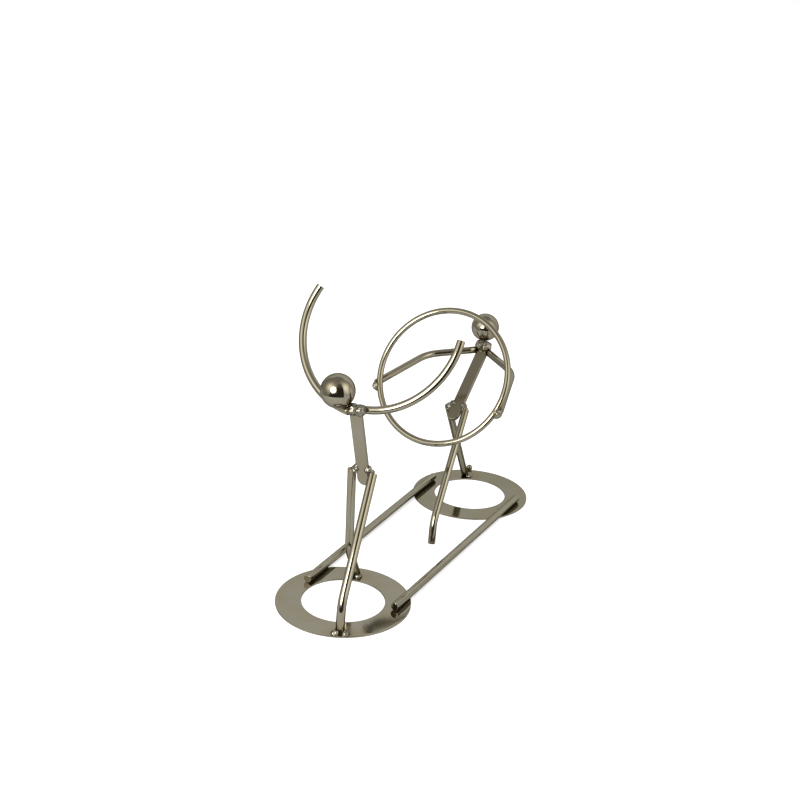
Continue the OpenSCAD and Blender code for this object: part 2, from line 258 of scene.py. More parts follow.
def frames(path):
    """Unit tangents, and two normals turned on from row to row by the smallest turn."""
    tan = np.gradient(path, axis=0)
    tan /= np.linalg.norm(tan, axis=1)[:, None]
    side = np.cross(tan[0], (0.0, 0.0, 1.0))
    n = [unit(side if np.linalg.norm(side) > 0.1 else np.cross(tan[0], (0.0, 1.0, 0.0)))]
    for t in tan[1:]:
        n.append(unit(n[-1] - t * (n[-1] @ t)))
    n = np.array(n)
    return tan, n, np.cross(tan, n)


def rod(path, d, start=None, end=None):
    """P(s, a) = path(s) + r * (cos a * n + sin a * b). An end is cut square with a chamfer, or
    slid along the rod onto a plane, given as a point and a normal."""
    tan, n, b = frames(path)
    a = np.linspace(0, 2 * np.pi, SIDES, endpoint=False)
    ring = np.cos(a)[None, :, None] * n[:, None] + np.sin(a)[None, :, None] * b[:, None]
    body = path[:, None] + d / 2 * ring
    head = end_rows(path[0], -tan[0], ring[0], d / 2, start)
    tail = end_rows(path[-1], tan[-1], ring[-1], d / 2, end)
    return np.concatenate([head[::-1], body[1:-1], tail])


def end_rows(p, t, ring, r, plane):
    """Rows from the rod's full width to its end: chamfer round, then flat in to the middle."""
    if plane is not None:
        q, m = np.array(plane[0], float), np.array(plane[1], float)
        rim = p + r * ring
        rim = rim + ((q - rim) @ m / (t @ m))[:, None] * t
        mid = p + ((q - p) @ m / (t @ m)) * t
        return np.array([rim] + [mid + (rim - mid) * k for k in (0.995, 0.97, 0.5, 0.1)])
    rows = [p - CHAMFER * t * 1.6 + r * ring]
    for q in np.linspace(0, 90, 5):
        rows.append(p - CHAMFER * t * (1 - sin(q)) + (r - CHAMFER * (1 - cos(q))) * ring)
    return np.array(rows + [p + (r - CHAMFER) * k * ring for k in (0.97, 0.5, 0.1)])


print("a rod has", SIDES, "sides")


# %% [markdown]
# ## The base rings
# Each ring is a washer cut from 1 mm sheet. Its section is a flat strip with edges eased by
# the plating, turned about the upright axis. The strip's points are close together at the
# edges, so that the faces stay flat and the rims catch a thin line of light.

# %% Turn the ring's section
def turned(section, columns=256):
    """P(s, a) = (r(s) cos a, r(s) sin a, z(s)): a closed section turned about Z."""
    a = np.linspace(0, 2 * np.pi, columns, endpoint=False)
    r, z = section[:, 0, None], section[:, 1, None]
    return np.stack([r * np.cos(a), r * np.sin(a), z + 0 * a], -1)


def washer(name, y_shift):
    """The section goes round the strip: outer rim, top, inner rim, underside."""
    ease, r0, r1 = RING_EASE, RING_D / 2 - RING_BAND, RING_D / 2
    section = []
    for r, z, start in ((r1, 0, -90), (r1, RING_T, 0), (r0, RING_T, 90), (r0, 0, 180)):
        cr = r - ease if r == r1 else r + ease
        cz = z + ease if z == 0 else z - ease
        for k in np.linspace(0, 90, 6):
            section.append((cr + ease * cos(start + k), cz + ease * sin(start + k)))
    section = np.array(section)
    filled = []
    for p, q in zip(section, np.roll(section, -1, 0)):
        steps = 12 if np.linalg.norm(q - p) > 5 else 1
        filled += [p + (q - p) * k / steps for k in range(steps)]
    ring_skin(name, turned(np.array(filled)), y_shift)


washer("front_base_ring", FRONT_Y)
washer("rear_base_ring", REAR_Y)
print("ring faces:", len(pieces["front_base_ring"].data.polygons))

# %% [markdown]
# ## The tie rods
# Two straight lengths of the wire lie on both rings and keep the figures apart.

# %% Lay the tie rods
TIE_Z = RING_T + TIE_D / 2 + SEAT
for side, word in ((-1, "left"), (1, "right")):
    a = np.array((side * TIE_X[side][0], FRONT_Y + TIE_END[0], TIE_Z))
    b = np.array((side * TIE_X[side][1], REAR_Y + TIE_END[1], TIE_Z))
    skin(word + "_tie_rod", [rod(straight(a, b), TIE_D)])
print("tie rods:", [n for n in pieces if "tie" in n])

# %% [markdown]
# ## The torsos
# A torso is a strip of flat bar: its edges are slightly round from rolling, its lower end is
# round and its top is cut square. Each row is the bar's outline, drawn in towards the middle
# line over the edge's quarter round and then across the flat.

# %% Draw the flat bars
def bar_outline(length):
    """Up the right edge, over the square top, down the left edge and round the lower end.
    Returns the points and their outward normals, in the bar's own plane."""
    w, low, top = TORSO_W / 2, TORSO_W / 2 - TORSO_TAIL, length - BAR_CORNER
    inner = w - BAR_CORNER

    def on_arc(x, z, r, q):
        return (x + r * cos(q), z + r * sin(q)), (cos(q), sin(q))

    edge = [((w, z), (1, 0)) for z in np.linspace(low, top, 40)]
    edge += [on_arc(inner, top, BAR_CORNER, q) for q in np.linspace(0, 90, 6)]
    edge += [((x, length), (0, 1)) for x in np.linspace(inner, -inner, 12)[1:-1]]
    edge += [on_arc(-inner, top, BAR_CORNER, q) for q in np.linspace(90, 180, 6)]
    edge += [((-w, z), (-1, 0)) for z in np.linspace(top, low, 40)[1:]]
    edge += [on_arc(0, low, w, q) for q in np.linspace(180, 360, 34)[1:-1]]
    return np.array([p for p, _ in edge]), np.array([n for _, n in edge], float)


def flat_bar(name, hip, lean, side, length, y_shift, x_shift=0.0):
    """P = outline - normal * e(1 - sin q) at depth T/2 - e(1 - cos q), for both faces."""
    pts, nor = bar_outline(length)
    e, h = BAR_EASE, TORSO_T / 2
    spine = pts[:, 1].clip(TORSO_W / 2 - TORSO_TAIL, length - 0.5)
    middle = np.stack([np.zeros(len(pts)), spine], -1)
    inset = pts - e * nor
    shares, rounds = (0.02, 0.3, 0.6, 0.9, 0.985), np.linspace(0, 90, 6)
    rows = [(middle + (inset - middle) * k, -h) for k in shares]
    rows += [(pts - nor * e * (1 - sin(q)), e * (1 - cos(q)) - h) for q in rounds]
    rows += [(pts - nor * e * (1 - sin(q)), h - e * (1 - cos(q))) for q in rounds[::-1]]
    rows += [(middle + (inset - middle) * k, h) for k in shares[::-1]]
    up = np.array((0.0, side * sin(lean), cos(lean)))
    out = np.array((0.0, -cos(lean), side * sin(lean)))
    hip_p = np.array((x_shift, hip[0], hip[1]))
    grid = [hip_p + xy[:, :1] * np.array((1.0, 0, 0)) + xy[:, 1:] * up + d * out for xy, d in rows]
    skin(name, [np.array(grid)], y_shift)


flat_bar("front_torso", FRONT_HIP, FRONT_LEAN, -1, FRONT_LEN + TORSO_TOP[0], FRONT_Y, FRONT_SIDE[0])
flat_bar("rear_torso", REAR_HIP, REAR_LEAN, 1, REAR_LEN + TORSO_TOP[1], REAR_Y)
print("torso corners:", len(bar_outline(40)[0]))

# %% [markdown]
# ## The arms that cradle the load
# Both front arms are arcs of the same wire, bent on a roller in a plane that leans back by the
# load's tilt. They butt against the bar's two edges at slightly different heights.

# %% Bend the front arms
ARM_GAP = TORSO_W / 2 + SEAT


def arc_path(side):
    """The arc rises from straight down, x = R sin a and u = rise + R (1 - cos a)."""
    start = ARM_GAP + side * FRONT_SIDE[0]
    a = np.radians(np.linspace(math.degrees(math.asin(start / ARM_R[side])), SWEEP[side], 90))
    u = RISE[side] + ARM_R[side] * (1 - np.cos(a))
    return in_plane(FRONT_SHOULDER, 0, 0) + np.stack(
        [side * ARM_R[side] * np.sin(a), u * sin(TILT), u * cos(TILT)], -1)


for side, word in ((-1, "left"), (1, "right")):
    butt = ((side * ARM_GAP + FRONT_SIDE[0], 0, 0), (1.0, 0, 0))
    skin("front_%s_arm" % word, [rod(arc_path(side), ARM_D, start=butt)], FRONT_Y)
print("arms:", [n for n in pieces if "arm" in n])

# %% [markdown]
# ## The legs
# Each leg is one rod, welded beside the torso's lower end. Three of them have a bend at the
# shin. A standing foot is cut flat where it meets its ring; the raised foot is cut square.

# %% Bend the legs
FLOOR_OF_FOOT, FLAT_BELOW = ((0, 0, RING_T), (0, 0, 1.0)), 3.5
SUNK, RIM = RING_T - FRONT_LEG_D / 2, RING_D / 2
LEFT_FOOT = np.array((-8.0, RIM - 9.0, RING_T))
RIGHT_FOOT = np.array((17.0, 7.6 - RIM, RING_T))
REAR_FOOT = np.array((-16.0, RIM - 14.0, RING_T))
RAISED_FOOT = (13.0, -85.5, 2.6)
LEFT_SHIN, RIGHT_SHIN, RAISED_SHIN = (-7.8, 18.8, 24.0), (15.7, -29.0, 17.5), (11.9, -82.0, 16.5)


def leg_top(side, hip, d, gap):
    """The middle of a leg's cut top, beside the torso's edge."""
    return np.array((side * (TORSO_W / 2 + gap + d / 2), hip[0], hip[1]))


def leg_path(top, shin, foot):
    """From the torso's edge to the foot, bent where the shin begins."""
    return bent_path(top, np.array(shin, float), np.array(foot, float), BEND_R)


def standing(path, d):
    """A rod cut flat on its ring; the path's last rows give way to the cut."""
    return rod(path[path[:, 2] > FLAT_BELOW], d, end=FLOOR_OF_FOOT)


left_top = FRONT_SIDE + leg_top(-1, FRONT_HIP, FRONT_LEG_D, LEG_GAP[-1])
right_top = FRONT_SIDE + leg_top(1, FRONT_HIP, FRONT_LEG_D, LEG_GAP[1])
left_leg = leg_path(left_top, LEFT_SHIN, (*LEFT_FOOT[:2], SUNK))
right_leg = leg_path(right_top, RIGHT_SHIN, (*RIGHT_FOOT[:2], SUNK))
raised_leg = leg_path(leg_top(1, REAR_HIP, REAR_LEG_D, SEAT), RAISED_SHIN, RAISED_FOOT)
standing_leg = straight(leg_top(-1, REAR_HIP, REAR_LEG_D, SEAT), REAR_FOOT)
skin("front_left_leg", [standing(left_leg, FRONT_LEG_D)], FRONT_Y)
skin("front_right_leg", [standing(right_leg, FRONT_LEG_D)], FRONT_Y)
skin("rear_standing_leg", [standing(standing_leg, REAR_LEG_D)], REAR_Y)
skin("rear_raised_leg", [rod(raised_leg, REAR_LEG_D)], REAR_Y)
print("raised foot ends at z =", raised_leg[-1][2], "mm")

# %% [markdown]
# ## The hoop and the arms that hold it
# The hoop is a ring of thinner wire, butt welded and ground so that its seam doesn't show. The
# rear arms run from the shoulders round the elbows to the hoop's outside.

# %% Turn the hoop and bend the rear arms
a = np.linspace(0, 2 * np.pi, 257)[:-1]
q = np.linspace(0, 2 * np.pi, 49)[:-1]
across = HOOP_R + HOOP_D / 2 * np.cos(q)[:, None]
side_x, up_u = across * np.cos(a), across * np.sin(a)
depth = HOOP_D / 2 * np.sin(q)[:, None] + 0 * a
hoop_grid = np.stack([side_x,
                      HOOP_C[1] + up_u * sin(TILT) - depth * cos(TILT),
                      HOOP_C[2] + up_u * cos(TILT) + depth * sin(TILT)], -1)
ring_skin("holding_hoop", hoop_grid, REAR_Y)

hand_out = in_plane((0, 0, 0), cos(HAND_ANGLE), -sin(HAND_ANGLE))
hand_down = in_plane((0, 0, 0), -sin(HAND_ANGLE), -cos(HAND_ANGLE))
hand_rim = HOOP_C + HOOP_R * hand_out
hand_at = hand_rim + HAND_REACH * hand_out


def cope(grid, side, stride=0.08, strides=60):
    """Slides each point of the arm's last rows back along the arm until it clears the hoop's
    rod: a point at distance h < r from the rod's middle line moves back."""
    back = unit(mirrored(ELBOW, side) - mirrored(hand_at, side))
    clear = HOOP_D / 2 + SEAT
    normal = np.array((0.0, -cos(TILT), sin(TILT)))
    for _ in range(strides):
        rel = grid - HOOP_C
        depth = rel @ normal
        flat = rel - depth[..., None] * normal
        h = np.hypot(np.linalg.norm(flat, axis=-1) - HOOP_R, depth)
        inside = h < clear
        if not inside.any():
            break
        grid = np.where(inside[..., None], grid + stride * back, grid)
    return grid


for side, word in ((-1, "left"), (1, "right")):
    path = bent_path(REAR_SHOULDER, mirrored(ELBOW, side), mirrored(hand_at, side), BEND_R)
    path = path[np.abs(path[:, 0]) > ARM_GAP + 1.5]
    butt = ((side * ARM_GAP, 0, 0), (1.0, 0, 0))
    skin("rear_%s_arm" % word, [cope(rod(path, ARM_D, start=butt), side)], REAR_Y)
print("hand at", hand_at.round(2))

# %% [markdown]
# ## The heads
# Two solid balls, the front one resting on the left arm beside the bar, the rear one on the
# end of its torso. A ball is a half circle turned about an axis.

# %% Turn the balls
def directions(pole, rows, columns):
    """Unit vectors d(p, a) = (sin p cos a, sin p sin a, cos p), from pole degrees off the top
    to as much off the bottom."""
    p = np.radians(np.linspace(pole, 180 - pole, rows))[:, None]
    a = np.linspace(0, 2 * np.pi, columns, endpoint=False)[None]
    return np.stack([np.sin(p) * np.cos(a), np.sin(p) * np.sin(a), np.cos(p) + 0 * a], -1)
turn = math.degrees(math.asin(FRONT_HEAD_X / ARM_R[-1]))
arm_u = RISE[-1] + ARM_R[-1] * (1 - cos(turn))
arm_dir = in_plane((0, 0, 0), cos(turn), sin(turn))
lift = np.array((0.0, -cos(FRONT_HEAD_LIFT), sin(FRONT_HEAD_LIFT)))
front_head = (in_plane(FRONT_SHOULDER, FRONT_HEAD_X, arm_u)
              + ((FRONT_HEAD_D + ARM_D) / 2 + SEAT) * unit(lift - (lift @ arm_dir) * arm_dir))
rear_end = along_torso(REAR_HIP, REAR_LEAN, 1, REAR_LEN + TORSO_TOP[1])
rear_head = (rear_end + TORSO_T / 2 * np.array((0, -cos(REAR_LEAN), sin(REAR_LEAN)))
             + np.array((REAR_HEAD_X, 0, 0))
             + (REAR_HEAD_D / 2 + SEAT) * np.array((0, cos(REAR_HEAD_LIFT), sin(REAR_HEAD_LIFT))))


def ball(centre, r):
    """P(p, a) = centre + r (sin p cos a, sin p sin a, cos p), poles left to the fans."""
    return centre + r * directions(1.5, 90, 128)


skin("front_head", [ball(front_head, FRONT_HEAD_D / 2)], FRONT_Y)
skin("rear_head", [ball(rear_head, REAR_HEAD_D / 2)], REAR_Y)
print("heads at", front_head.round(2), rear_head.round(2))

# %% [markdown]
# ## The stub behind the standing foot
# A short post stands on the rear ring behind the foot. Its top is a ball that is a little
# wider than its neck, like the end of a melted rod.

# %% Turn the stub
STUB_BACK, STUB_H, STUB_D, STUB_NECK = 7.0, 5.5, 4.3, 3.4


def stub():
    """The neck's cylinder up to where it meets the ball, with a hollow fillet between them."""
    r, n = STUB_D / 2, STUB_NECK / 2
    mid = STUB_H - r
    joint = math.degrees(math.asin(n / r))
    rows = [(n, z) for z in np.linspace(0.02, mid - r * cos(joint) - 0.25, 6)]
    rows += [(n + 0.03, mid - r * cos(joint) - 0.1)]
    rows += [(r * sin(q), mid - r * cos(q)) for q in np.linspace(joint + 6, 178, 40)]
    return turned(np.array(rows), 64) + REAR_FOOT + np.array((0, STUB_BACK, 0))


skin("rear_ring_stub", [stub()], REAR_Y)
print("stub top at z =", round(RING_T + STUB_H, 2), "mm")

# %% [markdown]
# ## The weld beads
# The pieces are joined by short beads of molten filler, plated over with the rest. A bead is a
# ball whose radius wavers smoothly with direction, so it looks pooled and not turned. Beads on
# a ring are flattened to its face.

# %% Pool the beads
FOOT_BEAD, HIP_BEAD, NECK_BEAD, HAND_BEAD = 2.6, 2.5, 3.8, 3.0
HIP_LUMPS = ((1.2, 0.3), (-0.2, 2.3))
FRONT_NECK_LUMPS = ((-0.6, -2.7, 2.2), (4, -2.8, 2.9))
REAR_NECK_LUMPS = ((-2, -2.6, 1), (2.2, -2.6, 0.5))
RIPPLES = ((0.05, 2.2), (0.035, 4.1), (0.02, 7.5))


def bead(centre, r, seed, floor=None, stretch=np.zeros(3)):
    """r(direction) = r (1 + sum of three small sine ripples), drawn out along stretch; below
    floor it is cut flat."""
    rng = np.random.default_rng(seed)
    d = directions(3, 40, 56)
    swell = np.zeros(d.shape[:2])
    for strength, pitch in RIPPLES:
        k = rng.normal(size=3)
        swell += strength * np.sin(pitch * (d @ unit(k)) * 2 + rng.uniform(0, 6.28))
    drawn_out = d + (d @ stretch)[..., None] * stretch
    grid = centre + r * (1 - 0.04 + swell)[..., None] * drawn_out
    if floor is not None:
        grid[..., 2] = np.maximum(grid[..., 2], floor)
    return grid


def on_torso(shoulder, lean, lumps, seed):
    """Beads given by x, depth (front is negative) and height in a leaning torso's own frame."""
    c, s = cos(lean), sin(lean)
    return [bead(shoulder + np.array((x, y * c - z * s, y * s + z * c)), NECK_BEAD, seed + i)
            for i, (x, y, z) in enumerate(lumps)]


def on_hip(hip, lean, side, seed):
    """A lower lump on each leg's top and a higher one on the torso's edge."""
    return [bead(along_torso(hip, lean, side, up) + np.array((s * (TORSO_W / 2 + out), 0, 0)),
                 HIP_BEAD, seed + 2 * i + s)
            for i, (out, up) in enumerate(HIP_LUMPS) for s in (-1, 1)]


def on_plate(foot, places, seed):
    """Beads on a ring beside a foot, cut flat where they meet the plate."""
    return [bead(foot + np.array((x, y, 0)), FOOT_BEAD, seed + i, RING_T + SEAT)
            for i, (x, y) in enumerate(places)]


def on_hand(side, seed):
    """A bead under the arm's end, drawn out along the hoop."""
    centre = hand_rim + HOOP_D / 2 * hand_out + HAND_SAG * 0.7 * hand_down
    return bead(mirrored(centre, side), HAND_BEAD, seed + side,
                stretch=mirrored(0.55 * hand_down, side))


left_beads = on_plate(LEFT_FOOT, [(1.4, -2.4)], 40)
right_beads = on_plate(RIGHT_FOOT, [(-1.9, -1.9), (FRONT_LEG_D / 2 + 0.6, 1)], 41)
hip_beads = [grid + FRONT_SIDE for grid in on_hip(FRONT_HIP, FRONT_LEAN, -1, 20)]
skin("front_neck_weld", on_torso(FRONT_SHOULDER, FRONT_LEAN, FRONT_NECK_LUMPS, 3), FRONT_Y)
skin("rear_neck_weld", on_torso(REAR_SHOULDER, -REAR_LEAN, REAR_NECK_LUMPS, 13), REAR_Y)
skin("front_hip_welds", hip_beads, FRONT_Y)
skin("rear_hip_welds", on_hip(REAR_HIP, REAR_LEAN, 1, 30), REAR_Y)
skin("front_foot_welds", left_beads + right_beads, FRONT_Y)
skin("rear_foot_weld", on_plate(REAR_FOOT, [(REAR_LEG_D / 2 + 0.4, 0.5)], 50), REAR_Y)
skin("hand_welds", [on_hand(side, 60) for side in (-1, 1)], REAR_Y)
print("pieces:", len(pieces))

# %% [markdown]
# ## Shader sums written as Python
# A node's output is wrapped in a small class, so that noise * 0.2 + 0.1 adds its Math nodes.
# Every other node comes from one method, which takes its type, its settings and its inputs.

# %% Wrap sockets for the finishes
OBJECT_PLACE = 3                    # outputs of the Texture Coordinate and Attribute nodes
ATTRIBUTE_VALUE = 2
FLOAT_A, FLOAT_B = 2, 3             # sockets of the Mix node
COLOUR_A, COLOUR_B, COLOUR_OUT = 6, 7, 2


class Wire:
    """One output socket of a tree, on which Python's operators build Math nodes."""

    def __init__(self, tree, socket):
        self.tree, self.socket = tree, socket

    def out(self, name):
        """Another output of the same node."""
        return Wire(self.tree, self.socket.node.outputs[name])

    def math_node(self, operation, other):
        return self.tree.node("ShaderNodeMath", {"operation": operation}, {0: self, 1: other})

    def __add__(self, other):
        return self.math_node("ADD", other)

    def __mul__(self, other):
        return self.math_node("MULTIPLY", other)

    def __sub__(self, other):
        return self.math_node("SUBTRACT", other)

    __radd__ = __add__


class Tree:
    """A node tree to which nodes are added."""

    def __init__(self, node_tree):
        self.node_tree = node_tree

    def node(self, kind, settings=None, inputs=None, output=0):
        made = self.node_tree.nodes.new(kind)
        for key, value in (settings or {}).items():
            if key == "stops":
                self.set_stops(made.color_ramp, value)
            else:
                setattr(made, key, value)
        for key, value in (inputs or {}).items():
            self.feed(made.inputs[key], value)
        return Wire(self, made.outputs[output])

    def set_stops(self, ramp, stops):
        for element, (place, colour) in zip(ramp.elements, stops):
            element.position, element.color = place, (*colour, 1.0)

    def feed(self, socket, value):
        if isinstance(value, Wire):
            self.node_tree.links.new(value.socket, socket)
        else:
            socket.default_value = value


class Finish(Tree):
    """A material's node tree with a Principled shader."""

    def __init__(self, name):
        self.material = bpy.data.materials.new(name)
        self.material.use_nodes = True
        super().__init__(self.material.node_tree)
        self.shader = self.node_tree.nodes["Principled BSDF"]

    def set(self, name, value):
        self.feed(self.shader.inputs[name], value)


print("wire class ready")

# %% [markdown]
# ## Plated rod
# Drawn wire keeps faint lines along its length under a thin bright plating. The lines are a
# noise squeezed round the rod and stretched along it, read from the piece's own UV in metres.
# Beside the welds the plating is a little duller and browner, and that share is stored on the
# mesh as an attribute: one minus the distance to the nearest bead over a few millimetres.

# %% Store how near each point is to a weld
WELD_REACH = 0.008
weld_points = np.concatenate([
    np.array([v.co for v in pieces[n].data.vertices])[::97] for n in pieces if "weld" in n])
for obj in pieces.values():
    co = np.zeros(len(obj.data.vertices) * 3)
    obj.data.vertices.foreach_get("co", co)
    co = co.reshape(-1, 3)
    near = np.full(len(co), 9.0)
    for chunk in np.array_split(weld_points, 12):
        near = np.minimum(near, np.linalg.norm(co[:, None] - chunk[None], axis=2).min(1))
    layer = obj.data.attributes.new("near_weld", "FLOAT", "POINT")
    layer.data.foreach_set("value", (1 - near / WELD_REACH).clip(0, 1).astype(np.float32))
print("weld points:", len(weld_points))

# %% Mix the rod's plating
NICKEL = (0.277, 0.258, 0.205)
BROWN = (0.250, 0.218, 0.145)
EDGE_TINT = (0.36, 0.36, 0.34, 1)


def plating(name, rough, relief, lines, grain):
    """A metal whose colour drifts slowly, with a fine line bump and a duller zone by welds."""
    f = Finish(name)
    place = f.node("ShaderNodeTexCoord", output=OBJECT_PLACE)
    flow = f.node("ShaderNodeUVMap", {"uv_map": "around_along"})
    near = f.node("ShaderNodeAttribute", {"attribute_name": "near_weld"}, output=ATTRIBUTE_VALUE)
    drift = f.node("ShaderNodeTexNoise", {}, {"Vector": place, "Scale": 60.0, "Detail": 3.0})
    fine = f.node("ShaderNodeTexNoise", {}, {"Vector": place, "Scale": grain, "Detail": 4.0})
    squeeze = f.node("ShaderNodeMapping", {}, {"Vector": flow, "Scale": lines})
    drawn = f.node("ShaderNodeTexNoise", {}, {"Vector": squeeze, "Scale": 1.0, "Detail": 3.0})
    tint = drift * 1.3 + near * 0.5 - 0.4
    colour = f.node("ShaderNodeMix", {"data_type": "RGBA"},
                    {"Factor": tint, COLOUR_A: (*NICKEL, 1), COLOUR_B: (*BROWN, 1)}, COLOUR_OUT)
    f.set("Base Color", colour)
    f.set("Metallic", 1.0)
    f.set("Specular Tint", EDGE_TINT)
    f.set("Roughness", rough + drift * 0.03 + drawn * 0.02 + near * 0.08)
    height = drawn * 0.5 + fine * (0.35 + near * 0.8)
    bump = f.node("ShaderNodeBump", {}, {"Height": height, "Strength": relief, "Distance": 0.0002})
    f.set("Normal", bump)
    return f.material


rod_plating = plating("plated_rod", rough=0.045, relief=0.02,
                      lines=(2600.0, 60.0, 1.0), grain=900.0)
plate_plating = plating("plated_plate", rough=0.055, relief=0.05,
                        lines=(900.0, 900.0, 1.0), grain=1600.0)
print("finishes:", rod_plating.name, plate_plating.name)

# %% [markdown]
# ## Weld metal
# The beads are rougher than the rods: small pits and ripples under the plating, and a darker colour
# in the ripple's low places. A cellular texture gives the pits and a noise the ripples.

# %% Mix the bead's finish
def bead_finish():
    """Ripples and pits, with dark hollows where the ripple is low."""
    f = Finish("weld_metal")
    place = f.node("ShaderNodeTexCoord", output=OBJECT_PLACE)
    ripple = f.node("ShaderNodeTexNoise", {}, {"Vector": place, "Scale": 520.0, "Detail": 5.0})
    pits = f.node("ShaderNodeTexVoronoi", {}, {"Vector": place, "Scale": 700.0})
    hollows = [(0.3, (0.12, 0.11, 0.10)), (0.55, NICKEL)]
    f.set("Base Color", f.node("ShaderNodeValToRGB", {"stops": hollows}, {"Fac": ripple}))
    f.set("Metallic", 1.0)
    f.set("Specular Tint", EDGE_TINT)
    f.set("Roughness", 0.14 + ripple * 0.16)
    height = ripple + pits * 0.4
    bump = f.node("ShaderNodeBump", {}, {"Height": height, "Strength": 0.8, "Distance": 0.0008})
    f.set("Normal", bump)
    return f.material


weld_metal = bead_finish()
print("finish:", weld_metal.name)

# %% [markdown]
# ## Dress every node
# Each surface stands for the CAD node of the same name, rides on the one body and takes the finish
# for its kind, which the CAD node takes too.

# %% Replace the nodes with their fine surfaces
def is_plate(name):
    """Torsos and rings are flat; everything else is rod, ball or bead."""
    return "torso" in name or "base_ring" in name


for name, obj in pieces.items():
    if "weld" in name:
        finish, slot = weld_metal, "weld_metal"
    elif is_plate(name):
        finish, slot = plate_plating, "plated_plate"
    else:
        finish, slot = rod_plating, "plated_rod"
    obj.data.materials.append(finish)
    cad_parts[name].data.materials.clear()
    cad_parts[name].data.materials.append(finish)
    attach(obj, "root")
    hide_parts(name)
    obj.name = name + "_surface"
print("nodes without a surface:", sorted(set(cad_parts) - set(pieces)))

# %% [markdown]
# ## The floor
# A pale floor carries the soft shadow. To the camera it is lifted to white by a little
# emission, so no lamp has to be brighter for its sake; the metal mirrors it nearly as it is.

# %% Lay the floor
HALF_FLOOR = 6.0
floor_mesh = bpy.data.meshes.new("floor")
corners = [(x * HALF_FLOOR, y * HALF_FLOOR, 0) for x, y in ((-1, -1), (1, -1), (1, 1), (-1, 1))]
floor_mesh.from_pydata(corners, [], [(0, 1, 2, 3)])
floor = bpy.data.objects.new("floor", floor_mesh)
bpy.context.scene.collection.objects.link(floor)
floor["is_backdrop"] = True
floor_finish = Finish("floor_white")
rays = floor_finish.node("ShaderNodeLightPath")
mirrored_or_through = rays.out("Is Glossy Ray") + rays.out("Is Transmission Ray")
floor_finish.set("Base Color", (0.78, 0.78, 0.78, 1))
floor_finish.set("Roughness", 0.9)
floor_finish.set("Specular IOR Level", 0.0)
floor_finish.set("Emission Strength", 1.0)
floor_finish.set("Emission Color", rays.out("Is Camera Ray") * 0.48 + mirrored_or_through * 0.02)
floor.data.materials.append(floor_finish.material)
print("floor is", 2 * HALF_FLOOR, "m wide")

# %% [markdown]
# ## The world
# Bright metal shows the room, so the room's tones are part of its look. To every other surface
# the world is plain and even. To metal it is a pale backdrop behind the holder, grey in front
# and grey overhead; to the camera it is white.

# %% Tone the world
world = bpy.data.worlds.new("room")
bpy.context.scene.world = world
world.use_nodes = True
room = Tree(world.node_tree)


def passage(value, low, high, at_low, at_high):
    """Smoothly from at_low to at_high while the value goes from low to high."""
    return room.node("ShaderNodeMapRange", {"interpolation_type": "SMOOTHSTEP"},
                     {0: value, 1: low, 2: high, 3: at_low, 4: at_high})


def blend(share, a, b):
    """a where the share is 0, b where it is 1."""
    return room.node("ShaderNodeMix", {"data_type": "FLOAT"}, {0: share, FLOAT_A: a, FLOAT_B: b})


split = room.node("ShaderNodeSeparateXYZ", {}, {0: room.node("ShaderNodeTexCoord")})
behind = passage(split.out("Y"), 0.0, 0.5, 0.5, 1.12)
overhead = passage(split.out("Z"), 0.72, 0.92, 0.0, 1.0)
rays = room.node("ShaderNodeLightPath")
unless_mirrored = blend(rays.out("Is Glossy Ray"), 0.88, blend(overhead, behind, 0.45))
background = world.node_tree.nodes["Background"]
room.feed(background.inputs["Strength"], blend(rays.out("Is Camera Ray"), unless_mirrored, 1.0))
background.inputs["Color"].default_value = (1, 1, 1, 1)
print("world nodes:", len(world.node_tree.nodes))

# %% [markdown]
# ## Lamps
# A round softbox close in front throws the soft shadow; a weak lamp above and behind fills in.
# Neither is mirrored. The white spot on the balls and the white line on the rods come from a
# third lamp, the softbox's bright front, which only mirrors see. It is linked to the round
# pieces alone: a flat plate that happens to face it would flash white all over.

# %% Hang the softboxes
AIM = Vector((-0.012, -0.085, 0.13))
KEY_AT, FILL_AT = (-1.0, 21.5), (160, 60)
KEY_LIGHT, FILL_LIGHT = (1.0, 0.985, 0.96), (1.0, 0.99, 0.97)


def around(azimuth, elevation, distance):
    level = cos(elevation)
    direction = Vector((sin(azimuth) * level, -cos(azimuth) * level, sin(elevation)))
    return direction * distance + AIM


def softbox(name, at, distance, size, power, colour):
    """A lamp that faces the holder from the azimuth and elevation in at; size is wide, high."""
    data = bpy.data.lights.new(name, "AREA")
    data.shape, data.size, data.size_y = "ELLIPSE", *size
    data.energy, data.color = power, colour
    lamp = bpy.data.objects.new(name, data)
    lamp.location = around(*at, distance)
    lamp.rotation_euler = (AIM - lamp.location).to_track_quat("-Z", "Y").to_euler()
    bpy.context.scene.collection.objects.link(lamp)
    return lamp


key = softbox("key_softbox", KEY_AT, 0.62, (0.45, 0.45), 2.8, KEY_LIGHT)
fill = softbox("fill_softbox", FILL_AT, 1.5, (0.8, 0.8), 5.0, FILL_LIGHT)
key.visible_glossy = fill.visible_glossy = False
bright_front = softbox("softbox_front", KEY_AT, 0.45, (0.28, 0.315), 2.9, KEY_LIGHT)
bright_front.visible_diffuse = False
round_pieces = bpy.data.collections.new("round_pieces")
for name, obj in pieces.items():
    if not is_plate(name):
        round_pieces.objects.link(obj)
bright_front.light_linking.receiver_collection = round_pieces

# %% [markdown]
# ## The mirrored room
# One curved wall in front, which only reflections see, carries the room's tones as a formula of
# two angles: a cream glow on the left, a pale wall on the right, a fainter glow round the
# softbox, and the dark shape of the camera's stand. A dark apron lies on the floor beyond the
# table's front edge; it draws the dark line under the bright one on the rods.

